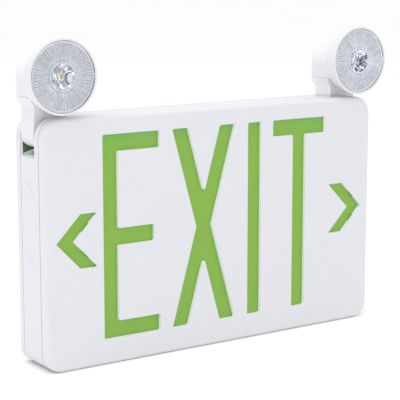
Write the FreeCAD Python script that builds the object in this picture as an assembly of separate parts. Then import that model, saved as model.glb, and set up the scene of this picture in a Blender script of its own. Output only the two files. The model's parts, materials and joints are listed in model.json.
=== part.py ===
import FreeCAD, Part
import os, math
os.makedirs("parts", exist_ok=True)

# Wall-mounted emergency exit sign with two adjustable lamp heads.
# Frame: +Z up, the legend faces -Y, +X to the right of someone who reads it.
# Inside this script y runs back from the front face (y = 0) and z up from
# the bottom; everything moves by -Y_MID at the end, so the origin lies at the
# bottom centre of the whole object's box.

# ---------------------------------------------------------------- sizes (mm)
W = 304.0             # body width
H = 185.5             # body height
D = 45.0              # body depth
R_TOP = 15.1          # upper corners, concentric with the arm pivots
R_BOT = 13.0          # lower corners
Y_COVER = 8.2         # back edge of the front cover
Y_HOUSE = 8.8         # front edge of the housing
Y_HOUSE_END = 37.0    # back edge of the housing
Y_PLATE = 37.5        # front edge of the back plate
DRAFT = 0.9           # the sides and top draw in by this at the housing's back
WALL = 2.2
FACE_T = 2.6          # thickness of the stencil face
EDGE_R = 3.0          # rounded front edge of the cover
RIM_R = 0.35          # eased rims of the cut-outs

LEGEND_H = 152.4      # six inch legend
LEGEND_Z = 95.5       # height of its centre
STROKE = 12.7
CHEV_TIP = 143.2
CHEV_OUT = 123.3
CHEV_HALF = 20.2
CHEV_STROKE = 14.4    # measured along X

PX = 136.9            # arm pivot and lamp axis, from the centre plane
PZ = H - R_TOP        # arm pivot height
YC = 28.0             # swivel axis depth
ARM_Y0, ARM_Y1 = 18.2, 37.2
ARM_HW = 13.5         # half width of the arm at its pivot
ARM_WAIST = 12.5      # half width at its narrowest
ARM_END = 8.7         # its elliptical end reaches this far below the pivot
SEAT_Z = 200.0        # top of the arm, where the head turns
SEAT_R = 18.6         # plan radius of the seat's front
HEAD_Y1 = 42.0        # back of the head's rear block
NOTCH_Z = 156.6       # floor of the corner notches
NOTCH_X = 14.0        # half width of the notch
PIN_R = 3.0
STUD_R = 3.9

LAMP_Z = 215.3
CAN_RF = 27.5         # can radius at the front
CAN_RR = 25.6         # and at the rear
CAN_Y0 = -3.4
CAN_Y1 = 9.1
LENS_R = 25.6
ARCH_HW = 17.7        # rear block of the head
ARCH_Z = 209.6        # centre of its round top
HEAD_Z0 = 200.3

BTN_Y, BTN_Z, BTN_R = 23.0, 46.0, 3.9
LED_Z = 58.0

KEY_X, KEY_Z = 46.0, 150.0   # seat of the keyhole slots

Y_MID = (CAN_Y0 + D) / 2.0

V = FreeCAD.Vector
AX = {"x": V(1, 0, 0), "y": V(0, 1, 0), "z": V(0, 0, 1)}


# ------------------------------------------------------------------- helpers
def box(x0, x1, y0, y1, z0, z1):
    return Part.makeBox(x1 - x0, y1 - y0, z1 - z0, V(x0, y0, z0))


def cyl(axis, c, r, a, b):
    """Cylinder along an axis from a to b; c holds the other two coordinates."""
    if axis == "x":
        p = V(a, c[0], c[1])
    elif axis == "y":
        p = V(c[0], a, c[1])
    else:
        p = V(c[0], c[1], a)
    return Part.makeCylinder(r, b - a, p, AX[axis])


def tube(axis, c, ro, ri, a, b):
    return cyl(axis, c, ro, a, b).cut(cyl(axis, c, ri, a - 1, b + 1))


def poly(pts, y0, y1):
    """Polygon in XZ, extruded along Y."""
    w = Part.makePolygon([V(x, y0, z) for x, z in pts] + [V(pts[0][0], y0, pts[0][1])])
    return Part.Face(w).extrude(V(0, y1 - y0, 0))


def outline(x0, x1, z0, z1, rt, rb, y):
    """Rounded rectangle wire in the plane Y = y; rt, rb are the corner radii."""
    def arc(cx, cz, r, a):
        p = [V(cx + r * math.cos(math.radians(t)), y, cz + r * math.sin(math.radians(t)))
             for t in (a, a + 45, a + 90)]
        return Part.Arc(*p).toShape()
    e = [arc(x1 - rt, z1 - rt, rt, 0)]
    e.append(Part.LineSegment(V(x1 - rt, y, z1), V(x0 + rt, y, z1)).toShape())
    e.append(arc(x0 + rt, z1 - rt, rt, 90))
    e.append(Part.LineSegment(V(x0, y, z1 - rt), V(x0, y, z0 + rb)).toShape())
    e.append(arc(x0 + rb, z0 + rb, rb, 180))
    e.append(Part.LineSegment(V(x0 + rb, y, z0), V(x1 - rb, y, z0)).toShape())
    e.append(arc(x1 - rb, z0 + rb, rb, 270))
    e.append(Part.LineSegment(V(x1, y, z0 + rb), V(x1, y, z1 - rt)).toShape())
    return Part.Wire(e)


def slab(inset, y0, y1, zb=None, inset1=None):
    """The body's outline, drawn in by inset (top and sides) and zb (bottom),
    from y0 to y1; inset1 is the inset at y1 when the sides have draft."""
    zb = inset if zb is None else zb
    def wire(i, y):
        return outline(-W / 2 + i, W / 2 - i, zb, H - i, R_TOP - i, max(2.0, R_BOT - max(i, zb)), y)
    if inset1 is None:
        return Part.Face(wire(inset, y0)).extrude(V(0, y1 - y0, 0))
    return Part.makeLoft([wire(inset, y0), wire(inset1, y1)], True, True)


def rrect(x0, x1, z0, z1, r, y0, y1):
    return Part.Face(outline(x0, x1, z0, z1, r, r, y0)).extrude(V(0, y1 - y0, 0))


def revolve_y(pts, x, z):
    """Closed (radius, y) profile turned about a Y axis through (x, z)."""
    w = Part.makePolygon([V(x + r, y, z) for r, y in pts] + [V(x + pts[0][0], pts[0][1], z)])
    return Part.Face(w).revolve(V(x, 0, z), V(0, 1, 0), 360)


def fillet(shape, r, test):
    edges = [e for e in shape.Edges if test(e)]
    return shape.makeFillet(r, edges) if edges else shape


def flat_at(e, axis, value, tol=1e-3):
    b = e.BoundBox
    lo, hi = (b.XMin, b.XMax) if axis == "x" else (b.YMin, b.YMax) if axis == "y" else (b.ZMin, b.ZMax)
    return abs(lo - value) < tol and abs(hi - value) < tol


def vertical(e):
    b = e.BoundBox
    return b.XLength < 1e-3 and b.YLength < 1e-3


def along_y(e):
    b = e.BoundBox
    return b.XLength < 1e-3 and b.ZLength < 1e-3


def join(*shapes):
    s = shapes[0].multiFuse(list(shapes[1:]))
    return s.removeSplitter()


def mirror(s):
    return s.mirror(V(0, 0, 0), V(1, 0, 0))


parts = {}

# -------------------------------------------------------------- legend cutters
zb = LEGEND_Z - LEGEND_H / 2
zt = LEGEND_Z + LEGEND_H / 2
S = STROKE


def letter_e(x0, x1):
    zc = (zb + zt) / 2
    return [(x0, zb), (x1, zb), (x1, zb + S), (x0 + S, zb + S), (x0 + S, zc - S / 2),
            (x1 - 5, zc - S / 2), (x1 - 5, zc + S / 2), (x0 + S, zc + S / 2),
            (x0 + S, zt - S), (x1, zt - S), (x1, zt), (x0, zt)]


def letter_x(x0, x1):
    # two straight diagonals of equal stroke, crossing at mid height
    sw = S * 1.12
    xm, zm = (x0 + x1) / 2, (zb + zt) / 2
    k = (x1 - x0 - sw) / (zt - zb)          # run per rise of a diagonal
    dz = (sw / 2) / k                        # height at which the inner notches close
    return [(x0, zb), (x0 + sw, zb), (xm, zm - dz), (x1 - sw, zb), (x1, zb),
            (xm + sw / 2, zm), (x1, zt), (x1 - sw, zt), (xm, zm + dz), (x0 + sw, zt),
            (x0, zt), (xm - sw / 2, zm)]


def letter_i(x0):
    return [(x0, zb), (x0 + S, zb), (x0 + S, zt), (x0, zt)]


def letter_t(x0, x1):
    xm = (x0 + x1) / 2
    return [(xm - S / 2, zb), (xm + S / 2, zb), (xm + S / 2, zt - S), (x1, zt - S),
            (x1, zt), (x0, zt), (x0, zt - S), (xm - S / 2, zt - S)]


def chevron():
    t, o, h, s = CHEV_TIP, CHEV_OUT, CHEV_HALF, CHEV_STROKE
    z = LEGEND_Z
    return [(t, z), (o, z + h), (o - s, z + h), (t - s, z), (o - s, z - h), (o, z - h)]


cutters = []
for pts in (letter_e(-104, -55), letter_x(-43.5, 14.5), letter_i(27), letter_t(51.5, 104)):
    c = poly(pts, -1, FACE_T + 0.6)
    cutters.append(fillet(c, 1.2, along_y))
for sgn in (1, -1):
    c = poly([(sgn * x, z) for x, z in chevron()], -1, FACE_T + 0.6)
    cutters.append(fillet(c, 0.5, along_y))

# ----------------------------------------------------------------- front cover
outer = slab(0, 0, Y_COVER)
outer = fillet(outer, EDGE_R, lambda e: flat_at(e, "y", 0))
inner = slab(WALL + 0.2, FACE_T, Y_COVER + 1)
cover = outer.cut(inner)
for c in cutters:
    cover = cover.cut(c)
# eased rims round the legend and chevrons
rims = [e for e in cover.Edges if flat_at(e, "y", 0) and e.BoundBox.ZMin > 15 and e.BoundBox.ZMax < 175
        and e.BoundBox.XMin > -147 and e.BoundBox.XMax < 147]
cover = cover.makeFillet(RIM_R, rims)
extra = []
# rib that locates the green panel, which lies against the back of the face
ring = slab(WALL + 0.1, FACE_T - 0.1, 3.95).cut(slab(WALL + 0.9, FACE_T - 1, 5.0))
extra.append(ring)
# snap tongues that reach back into the housing
for x in (-95.0, 0.0, 95.0):
    for z0, z1 in ((WALL + 0.05, WALL + 1.45), (H - WALL - 1.45, H - WALL - 0.05)):
        extra.append(box(x - 6, x + 6, 3.0, 5.4, z0, z1))
cover = join(cover, *extra)
# relief behind each chevron edge, along the middle of the arm, where the knock-out was tied
for sgn in (1, -1):
    for up in (1, -1):
        for dx, a, b in ((CHEV_STROKE, -0.65, 0.3), (0.0, -0.3, 0.65)):
            xi = CHEV_TIP - dx - 0.49 * (CHEV_TIP - CHEV_OUT)
            zi = LEGEND_Z + up * 0.49 * CHEV_HALF
            relief = box(a, b, 0.9, FACE_T + 0.6, -3.9, 3.9)
            relief.rotate(V(0, 0, 0), V(0, 1, 0), 45.0 * up * -1)
            relief.translate(V(xi, 0, zi))
            cover = cover.cut(relief if sgn > 0 else mirror(relief))
# two pry notches under the seam
for x in (-70.0, 70.0):
    cover = cover.cut(box(x - 5, x + 5, Y_COVER - 1.0, Y_COVER + 1, -1, 1.2))
parts["front_cover"] = cover

# ---------------------------------------------------------------- green panel
parts["green_panel"] = rrect(-148.6, 148.6, 3.9, H - 3.9, 10.5, FACE_T + 0.08, FACE_T + 1.48)

# ---------------------------------------------------------------- light tray
tray_pts = [(-145.5, 8.0), (145.5, 8.0), (145.5, 150.0), (117.5, 150.0), (117.5, 177.5),
            (-117.5, 177.5), (-117.5, 150.0), (-145.5, 150.0)]
tray_in = [(-143.9, 9.6), (143.9, 9.6), (143.9, 148.4), (115.9, 148.4), (115.9, 175.9),
           (-115.9, 175.9), (-115.9, 148.4), (-143.9, 148.4)]
tray = fillet(poly(tray_pts, FACE_T + 1.63, 16.6), 3.0, along_y)
tray = tray.cut(fillet(poly(tray_in, 3.0, 15.0), 2.0, along_y))
parts["light_tray"] = tray

led_boards = [box(-130, 130, 6.4, 14.2, 9.75, 11.1), box(-108, 108, 6.4, 14.2, 174.4, 175.75)]
parts["legend_led_boards"] = Part.makeCompound(led_boards)
chips = []
for k in range(13):
    x = -120 + 20 * k
    chips.append(fillet(box(x - 1.75, x + 1.75, 8.9, 11.7, 11.1, 11.9), 0.25, lambda e: flat_at(e, "z", 11.9)))
for k in range(11):
    x = -100 + 20 * k
    chips.append(fillet(box(x - 1.75, x + 1.75, 8.9, 11.7, 173.6, 174.4), 0.25, lambda e: flat_at(e, "z", 173.6)))
parts["legend_leds"] = Part.makeCompound(chips)

# -------------------------------------------------------------------- housing
shell = slab(0, Y_HOUSE, Y_HOUSE_END, zb=0.0, inset1=DRAFT)
shell = shell.cut(slab(WALL + 0.5, Y_HOUSE - 1, Y_HOUSE_END + 1, zb=WALL))
bits = []
# flange and tongue that enter the cover
bits.append(slab(1.0, Y_HOUSE, 10.6).cut(slab(3.9, Y_HOUSE - 1, 12)))
bits.append(slab(2.65, 5.6, Y_HOUSE + 0.5).cut(slab(3.9, 4, 12)))
# webs that carry the arm pins, one behind each upper front corner
for sgn in (1, -1):
    web = box(118.6, 150.2, 14.8, 17.2, 151.2, 183.6).common(slab(1.2, 10, 20))
    bits.append(web if sgn > 0 else mirror(web))
# screw bosses for the back plate, tied to the side walls by ribs
BOSS = [(sx * 141.5, z) for sx in (1, -1) for z in (20.0, 122.0)]
for x, z in BOSS:
    bits.append(cyl("y", (x, z), 4.2, 17.4, Y_HOUSE_END))
    s = 1 if x > 0 else -1
    x0, x1 = sorted((x + s * 3.0, s * 150.4))
    bits.append(box(x0, x1, 17.4, Y_HOUSE_END - 1, z - 1.0, z + 1.0))
# floors of the corner notches
for sgn in (1, -1):
    f = box(PX - NOTCH_X - 1.4, 150.2, 14.8, Y_HOUSE_END, NOTCH_Z - 1.6, NOTCH_Z + 1).common(slab(1.2, 10, 40))
    bits.append(f if sgn > 0 else mirror(f))
# ribs that hold the small test board
for z0 in (35.6, 66.6):
    bits.append(box(138.6, 150.4, 17.6, 34.5, z0, z0 + 1.8))
shell = join(shell, *bits)
# corner notches: open to the top and to the side, behind the front rim
for sgn in (1, -1):
    n = box(PX - NOTCH_X, 160, 17.2, 40, NOTCH_Z, H + 5)
    shell = shell.cut(n if sgn > 0 else mirror(n))
    # ahead of the web only the outer wall is cut back
    n = box(PX - NOTCH_X, 160, 14.8, 17.3, NOTCH_Z, H + 5).cut(slab(WALL + 0.4, 10, 20))
    shell = shell.cut(n if sgn > 0 else mirror(n))
    hole = cyl("y", (sgn * PX, PZ), PIN_R + 0.05, 10, 18)
    shell = shell.cut(hole)
for x, z in BOSS:
    shell = shell.cut(cyl("y", (x, z), 1.5, 22, 40))
shell = shell.cut(cyl("x", (BTN_Y, BTN_Z), BTN_R + 0.15, 147, 155))
shell = shell.cut(cyl("x", (BTN_Y, LED_Z), 2.6, 147, 155))
# shallow dish round the test button
shell = shell.cut(Part.makeCone(BTN_R + 0.4, BTN_R + 1.6, 0.9, V(151.2, BTN_Y, BTN_Z), V(1, 0, 0)))
# the panel's snap tongues pass the flange
for x in (-95.0, 0.0, 95.0):
    shell = shell.cut(box(x - 6.6, x + 6.6, 5.0, 8.4, 2.0, 4.6))
    shell = shell.cut(box(x - 6.6, x + 6.6, 5.0, 8.4, H - 4.6, H - 2.0))
for x in (-70.0, 70.0):
    shell = shell.cut(box(x - 5, x + 5, Y_HOUSE - 1, Y_HOUSE + 1.4, -1, 1.2))


def witness(points, depth=0.16, width=0.55):
    """Faint moulding mark: a shallow groove in the left wall along (y, z) points."""
    cuts = []
    for (ya, za), (yb, zb2) in zip(points, points[1:]):
        n = math.hypot(yb - ya, zb2 - za)
        g = box(-160, -(W / 2 - depth - DRAFT * ((ya + yb) / 2 - Y_HOUSE) / (Y_HOUSE_END - Y_HOUSE)),
                -0.1, n + 0.1, -width / 2, width / 2)
        g.rotate(V(0, 0, 0), V(1, 0, 0), math.degrees(math.atan2(zb2 - za, yb - ya)))
        g.translate(V(0, ya, za))
        cuts.append(g)
    return cuts


for pts in ([(28.6, 136.9), (25.4, 137.1), (22.2, 136.2)], [(23.6, 134.6), (22.2, 133.2), (19.4, 131.8), (16.4, 130.9)],
            [(27.6, 84.3), (24.6, 84.4), (21.6, 83.8)], [(22.4, 80.2), (20.2, 79.3), (17.3, 79.0)]):
    for g in witness(pts):
        shell = shell.cut(g)
parts["housing"] = shell

# ----------------------------------------------------------------- back plate
plate = slab(DRAFT, Y_PLATE, D, zb=0.0, inset1=DRAFT + 0.15)
plate = fillet(plate, 1.6, lambda e: flat_at(e, "y", D))
plate = plate.cut(slab(WALL + DRAFT, Y_PLATE - 1, D - 2.4, zb=WALL))
bits = []
# tongue that enters the housing, left out at the arm notches
t = slab(WALL + 0.9, 35.2, Y_PLATE + 2, zb=WALL + 0.4).cut(slab(WALL + 2.1, 30, 50, zb=WALL + 1.6))
for sgn in (1, -1):
    n = box(118, 160, 30, 50, 150, 200)
    t = t.cut(n if sgn > 0 else mirror(n))
    for z in (20.0, 122.0):
        t = t.cut(box(*sorted((sgn * 136.0, sgn * 152.0)), 30, 50, z - 5.5, z + 5.5))
bits.append(t)
foot = slab(WALL + DRAFT - 0.3, Y_PLATE + 0.1, Y_PLATE + 2, zb=WALL - 0.3).cut(slab(WALL + 2.1, 30, 50, zb=WALL + 1.6))
for sgn in (1, -1):
    n = box(118, 160, 30, 50, 150, 200)
    foot = foot.cut(n if sgn > 0 else mirror(n))
bits.append(foot)
# pillars that meet the housing's bosses
for x, z in BOSS:
    bits.append(cyl("y", (x, z), 4.2, Y_HOUSE_END + 0.05, D - 1))
# sockets for the tails of the arm pins
for sgn in (1, -1):
    bits.append(cyl("y", (sgn * PX, PZ), 5.4, Y_PLATE, D - 1))
# standoffs for the main board
BSCREW = [(-140.0, 66.0), (-64.0, 66.0), (-140.0, 148.0), (-64.0, 148.0)]
for x, z in BSCREW:
    bits.append(cyl("y", (x, z), 3.4, 40.3, D - 1))
# low slanted guards behind the notches, each hooked over from the side wall
for sgn in (1, -1):
    g = poly([(118.5, 152.0), (150.3, 152.0), (150.3, 157.3), (148.9, 157.6), (144.6, 159.0), (140.2, 160.3),
              (131.0, 162.4), (118.5, 162.4)], Y_PLATE, 38.4)
    g = g.fuse(box(149.2, 150.4, Y_PLATE, D - 1, 152.0, 157.0)).common(slab(DRAFT + 0.3, 30, 50))
    bits.append(g if sgn > 0 else mirror(g))
# battery cradle
bits.append(box(60, 130, 41.0, D - 1, 62.0, 64.0))
bits.append(box(60, 130, 41.0, D - 1, 99.0, 101.0))
for z0 in (57.2, 104.4):
    bits.append(box(64, 126, 31.0, D - 1, z0, z0 + 1.8))
# raised rims round the wire entry and the box-screw holes
bits.append(tube("y", (0, LEGEND_Z), 13.4, 11.1, 40.8, D - 1))
for x in (-44.45, 44.45):
    bits.append(tube("y", (x, LEGEND_Z), 5.0, 2.5, 41.4, D - 1))
# stiffening ribs
for x in (-30.0, 30.0):
    bits.append(box(x - 0.8, x + 0.8, 40.6, D - 1, 14, 76))
    bits.append(box(x - 0.8, x + 0.8, 40.6, D - 1, 116, 172))
for z in (30.0, 160.0):
    bits.append(box(-29.4, 29.4, 40.6, D - 1, z - 0.8, z + 0.8))
plate = join(plate, *bits)
plate = plate.cut(cyl("y", (0, LEGEND_Z), 11.1, 36, 50))
for x in (-44.45, 44.45):
    plate = plate.cut(cyl("y", (x, LEGEND_Z), 2.5, 36, 50))
# two keyholes for hanging it on wall screws: round entry below, slot above
for xk in (-KEY_X, KEY_X):
    k = cyl("y", (xk, KEY_Z - 8.0), 4.6, 36, 50)
    k = k.fuse(box(xk - 2.3, xk + 2.3, 36, 50, KEY_Z - 8.0, KEY_Z)).fuse(cyl("y", (xk, KEY_Z), 2.3, 36, 50))
    plate = plate.cut(k)
for x, z in BOSS:
    plate = plate.cut(cyl("y", (x, z), 1.9, 36, 50))
    plate = plate.cut(cyl("y", (x, z), 3.7, 43.4, 50))
for sgn in (1, -1):
    plate = plate.cut(cyl("y", (sgn * PX, PZ), PIN_R + 0.05, 36, 42.2))
for x, z in BSCREW:
    plate = plate.cut(cyl("y", (x, z), 1.1, 38, 43.8))
# scored rings of the spare knock-outs, on the rear face
for x in (-22.0, 22.0):
    plate = plate.cut(tube("y", (x, 46.0), 11.4, 10.8, D - 0.5, D + 1))
parts["back_plate"] = plate


def pan_screw(x, z, y_head0, y_head1, r_head, r_shank, y_tip, cross):
    """Screw along Y with its head at the back (y_head1 > y_head0)."""
    h = cyl("y", (x, z), r_head, min(y_head0, y_head1), max(y_head0, y_head1))
    h = fillet(h, 0.45, lambda e: flat_at(e, "y", y_head1))
    s = cyl("y", (x, z), r_shank, min(y_head0, y_tip), max(y_head0, y_tip))
    b = h.fuse(s)
    a, c = sorted((y_head1 + (0.2 if y_head1 > y_head0 else -0.2), y_head1 - (0.7 if y_head1 > y_head0 else -0.7)))
    b = b.cut(box(x - cross, x + cross, a, c, z - 0.35, z + 0.35))
    b = b.cut(box(x - 0.35, x + 0.35, a, c, z - cross, z + cross))
    return b.removeSplitter()


parts["back_plate_screws"] = Part.makeCompound(
    [pan_screw(x, z, 43.45, 44.85, 3.3, 1.45, 26.0, 1.9) for x, z in BOSS])

# ----------------------------------------------------------------- main board
board = box(-147.4, -57.0, 38.6, 40.2, 61.0, 163.8)
board = fillet(board, 1.5, along_y)
board = join(board, box(-148.8, -140.0, 38.6, 40.2, 151.5, 163.8))
for x, z in BSCREW:
    board = board.cut(cyl("y", (x, z), 1.7, 38, 41))
# bay in its edge that clears the case screw's pillar
board = board.cut(cyl("y", (-141.5, 122.0), 5.2, 38, 41)).cut(box(-150, -141.5, 38, 41, 116.8, 127.2))
parts["main_board"] = board
parts["board_screws"] = Part.makeCompound(
    [pan_screw(x, z, 38.55, 37.0, 2.6, 1.05, 43.4, 1.5) for x, z in BSCREW])

core = fillet(box(-126, -88, 24.0, 38.4, 74, 116), 0.6, along_y)
coil = fillet(box(-120.5, -93.5, 18.6, 38.4, 80, 110), 2.2, vertical)
parts["transformer"] = join(core, coil)
caps = []
for x, z in ((-75.0, 86.0), (-75.0, 104.0)):
    c = cyl("y", (x, z), 6.3, 20.6, 38.5)
    c = fillet(c, 0.8, lambda e: flat_at(e, "y", 20.6))
    c = c.cut(box(x - 3.5, x + 3.5, 20, 20.9, z - 0.2, z + 0.2)).cut(box(x - 0.2, x + 0.2, 20, 20.9, z - 3.5, z + 3.5))
    caps.append(c)
parts["capacitors"] = Part.makeCompound(caps)

term = fillet(box(-92, -70, 27.0, 38.5, 140, 154), 0.6, along_y)
for k in range(3):
    x = -88.0 + 7.0 * k
    term = term.cut(cyl("y", (x, 143.6), 1.7, 26, 33))
    term = term.cut(box(x - 2.1, x + 2.1, 29.5, 35.5, 149.5, 155))
parts["terminal_block"] = term

chips = [fillet(box(-134, -116, 30.5, 38.5, 124, 136), 0.5, along_y),
         box(-106, -96, 36.6, 38.5, 124, 131), box(-103, -94, 34.0, 38.5, 66, 70),
         box(-112, -109, 37.4, 38.5, 126, 128), box(-112, -109, 37.4, 38.5, 130, 132),
         cyl("y", (-83.0, 70.0), 2.4, 31.0, 38.5), cyl("y", (-110.0, 150.0), 3.2, 29.0, 38.5)]
parts["board_components"] = Part.makeCompound(chips)

# ---------------------------------------------------------------- battery pack
cells = [cyl("z", (x, 29.6), 11.2, 59.4, 104.0) for x in (72.0, 95.0, 118.0)]
wrap = box(72, 118, 20.6, 38.6, 59.4, 104.0)
pack = join(*cells, wrap)
parts["battery_pack"] = fillet(pack, 0.8, lambda e: flat_at(e, "z", 59.4) or flat_at(e, "z", 104.0))

strap = box(58.0, 132.0, 17.3, 42.55, 77.0, 87.0).cut(box(58.9, 131.1, 18.2, 50, 70, 90))
strap = join(strap, box(52.0, 58.9, 41.65, 42.55, 77.0, 87.0), box(131.1, 137.0, 41.65, 42.55, 77.0, 87.0))
parts["battery_clip"] = strap

header = box(-70.0, -60.0, 31.6, 38.5, 123.0, 133.0)
plug = fillet(box(-69.2, -60.8, 24.6, 31.5, 124.0, 132.0), 0.5, along_y)
parts["battery_header"] = header
parts["battery_plug"] = plug
# lead: up from the pack, one bend, then across to the plug
rb_ = 12.0
p0, p1 = V(95, 27.8, 104.05), V(95, 27.8, 128.0 - rb_)
p2, p3 = V(95 - rb_, 27.8, 128.0), V(-60.75, 27.8, 128.0)
mid = V(95 - rb_ + rb_ * math.cos(math.radians(45)), 27.8, 128.0 - rb_ + rb_ * math.sin(math.radians(45)))
path = Part.Wire([Part.LineSegment(p0, p1).toShape(), Part.Arc(p1, mid, p2).toShape(),
                  Part.LineSegment(p2, p3).toShape()])
sec = Part.Wire(Part.makeCircle(1.5, p0, V(0, 0, 1)))
parts["battery_lead"] = path.makePipeShell([sec], True, False)

# ------------------------------------------------- test board, button, pilot
tb = box(140.4, 141.9, 17.8, 34.2, 37.6, 66.4)
parts["test_board"] = tb
sw = fillet(box(141.95, 146.0, 19.6, 26.4, 42.6, 49.4), 0.4, lambda e: flat_at(e, "x", 146.0))
parts["test_switch"] = sw.cut(cyl("x", (BTN_Y, BTN_Z), 1.6, 142.4, 147))
btn = cyl("x", (BTN_Y, BTN_Z), BTN_R, 148.3, 151.95)
btn = fillet(btn, 0.6, lambda e: flat_at(e, "x", 151.95))
btn = btn.cut(Part.makeSphere(9.0, V(151.95 + 8.6, BTN_Y, BTN_Z)))
btn = join(btn, cyl("x", (BTN_Y, BTN_Z), 4.9, 147.9, 149.0), cyl("x", (BTN_Y, BTN_Z), 1.5, 144.2, 148.2))
parts["test_button"] = btn
pilot = cyl("x", (BTN_Y, LED_Z), 2.5, 142.9, 152.2)
pilot = fillet(pilot, 2.2, lambda e: flat_at(e, "x", 152.2))
pilot = join(pilot, cyl("x", (BTN_Y, LED_Z), 2.9, 141.95, 143.4))
parts["pilot_light"] = pilot


# ------------------------------------------------------- lamp arm and its head
# height and half width up the arm: widest at the pivot, a waist, then the flare to the seat
ARM_PROFILE = [(PZ, ARM_HW), (177.0, 13.2), (184.0, 12.8), (189.0, ARM_WAIST), (191.6, ARM_WAIST), (194.1, 13.1),
               (196.3, 14.6), (198.4, 16.6), (SEAT_Z, 17.7)]


# plan of the seat and of the rear block behind the swivel axis: half width, distance behind the axis
SEAT_PLAN = [(17.7, 3.0), (17.4, 6.2), (16.5, 9.0), (15.0, 11.5), (13.0, 13.2), (10.8, 14.0)]
# back of the arm: height and depth
ARM_BACK = [(190.5, ARM_Y1), (192.6, 37.5), (195.2, 38.7), (197.8, 40.4), (SEAT_Z, HEAD_Y1)]


def plan(inset, z0, z1):
    """Upright solid on the seat's plan, open to the front."""
    w, d = 17.7, HEAD_Y1 - YC
    kx, ky = (w - inset) / w, (d - inset) / d
    right = [V(PX + x * kx, YC + y * ky, z0) for x, y in SEAT_PLAN]
    left = [V(PX - x * kx, YC + y * ky, z0) for x, y in SEAT_PLAN]
    a = Part.BSplineCurve()
    a.interpolate(right, InitialTangent=V(0, 1, 0), FinalTangent=V(-1, 0, 0))
    b = Part.BSplineCurve()
    b.interpolate(left[::-1], InitialTangent=V(-1, 0, 0), FinalTangent=V(0, -1, 0))
    f0, f1 = V(PX - w + inset, -20, z0), V(PX + w - inset, -20, z0)
    edges = [Part.LineSegment(f1, right[0]).toShape(), a.toShape(), Part.LineSegment(right[-1], left[-1]).toShape(),
             b.toShape(), Part.LineSegment(left[0], f0).toShape(), Part.LineSegment(f0, f1).toShape()]
    return Part.Face(Part.Wire(edges)).extrude(V(0, 0, z1 - z0))


def arm():
    prof = ARM_PROFILE
    y = ARM_Y0
    right = [V(PX + w, y, z) for z, w in prof]
    left = [V(PX - w, y, z) for z, w in prof]
    bs = Part.BSplineCurve()
    bs.interpolate(right)
    edges = [bs.toShape(), Part.LineSegment(right[-1], left[-1]).toShape()]
    bs = Part.BSplineCurve()
    bs.interpolate(left[::-1])
    edges.append(bs.toShape())
    n = 28
    pts = [V(PX - ARM_HW * math.cos(math.pi * k / n), y, PZ - ARM_END * math.sin(math.pi * k / n)) for k in range(n + 1)]
    bs = Part.BSplineCurve()
    bs.interpolate(pts, InitialTangent=V(0, 0, -1), FinalTangent=V(0, 0, 1))
    edges.append(bs.toShape())
    s = Part.Face(Part.Wire(edges)).extrude(V(0, HEAD_Y1 - ARM_Y0, 0))
    # the back runs straight up and then flares to the seat
    back = [V(PX - 40, y, z) for z, y in ARM_BACK]
    bs = Part.BSplineCurve()
    bs.interpolate(back, InitialTangent=V(0, 0, 1), FinalTangent=V(0, 1.0, 1.1))
    c0, c1, c2 = V(PX - 40, ARM_Y1, 150), V(PX - 40, 0, 150), V(PX - 40, 0, SEAT_Z)
    wire = Part.Wire([bs.toShape(), Part.LineSegment(back[-1], c2).toShape(), Part.LineSegment(c2, c1).toShape(),
                      Part.LineSegment(c1, c0).toShape(), Part.LineSegment(c0, back[0]).toShape()])
    s = s.common(Part.Face(wire).extrude(V(80, 0, 0)))
    # in plan the seat is round at the front and full at the back
    front = cyl("z", (PX, YC), SEAT_R, 186, 205).common(box(PX - 40, PX + 40, 0, YC, 180, 210))
    rear = plan(0.0, 186, 205).common(box(PX - 40, PX + 40, YC, 60, 180, 210))
    keep = front.fuse([rear, box(PX - 40, PX + 40, 0, 60, 150, 190.0)])
    s = s.common(keep).removeSplitter()
    s = s.cut(cyl("y", (PX, PZ), PIN_R + 0.05, 0, 60))
    s = s.cut(cyl("z", (PX, YC), STUD_R + 0.05, 190.5, 210))
    s = s.cut(cyl("z", (PX, YC), 3.4, 176.5, 195))
    s = s.cut(cyl("y", (PX, 179.5), 3.2, YC, 60))
    return s


def pin():
    s = cyl("y", (PX, PZ), PIN_R, 14.5, 41.8)
    h = cyl("y", (PX, PZ), 4.8, 13.1, 14.7)
    h = fillet(h, 0.5, lambda e: flat_at(e, "y", 13.1))
    s = join(s, h)
    s = s.cut(box(PX - 2.6, PX + 2.6, 12.9, 13.8, PZ - 0.45, PZ + 0.45))
    return s.cut(box(PX - 0.45, PX + 0.45, 12.9, 13.8, PZ - 2.6, PZ + 2.6))


def washer():
    # one-turn wave washer, drawn at its working height
    s = tube("y", (PX, PZ), 7.4, PIN_R + 0.2, 17.4, 18.0)
    return s


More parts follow.
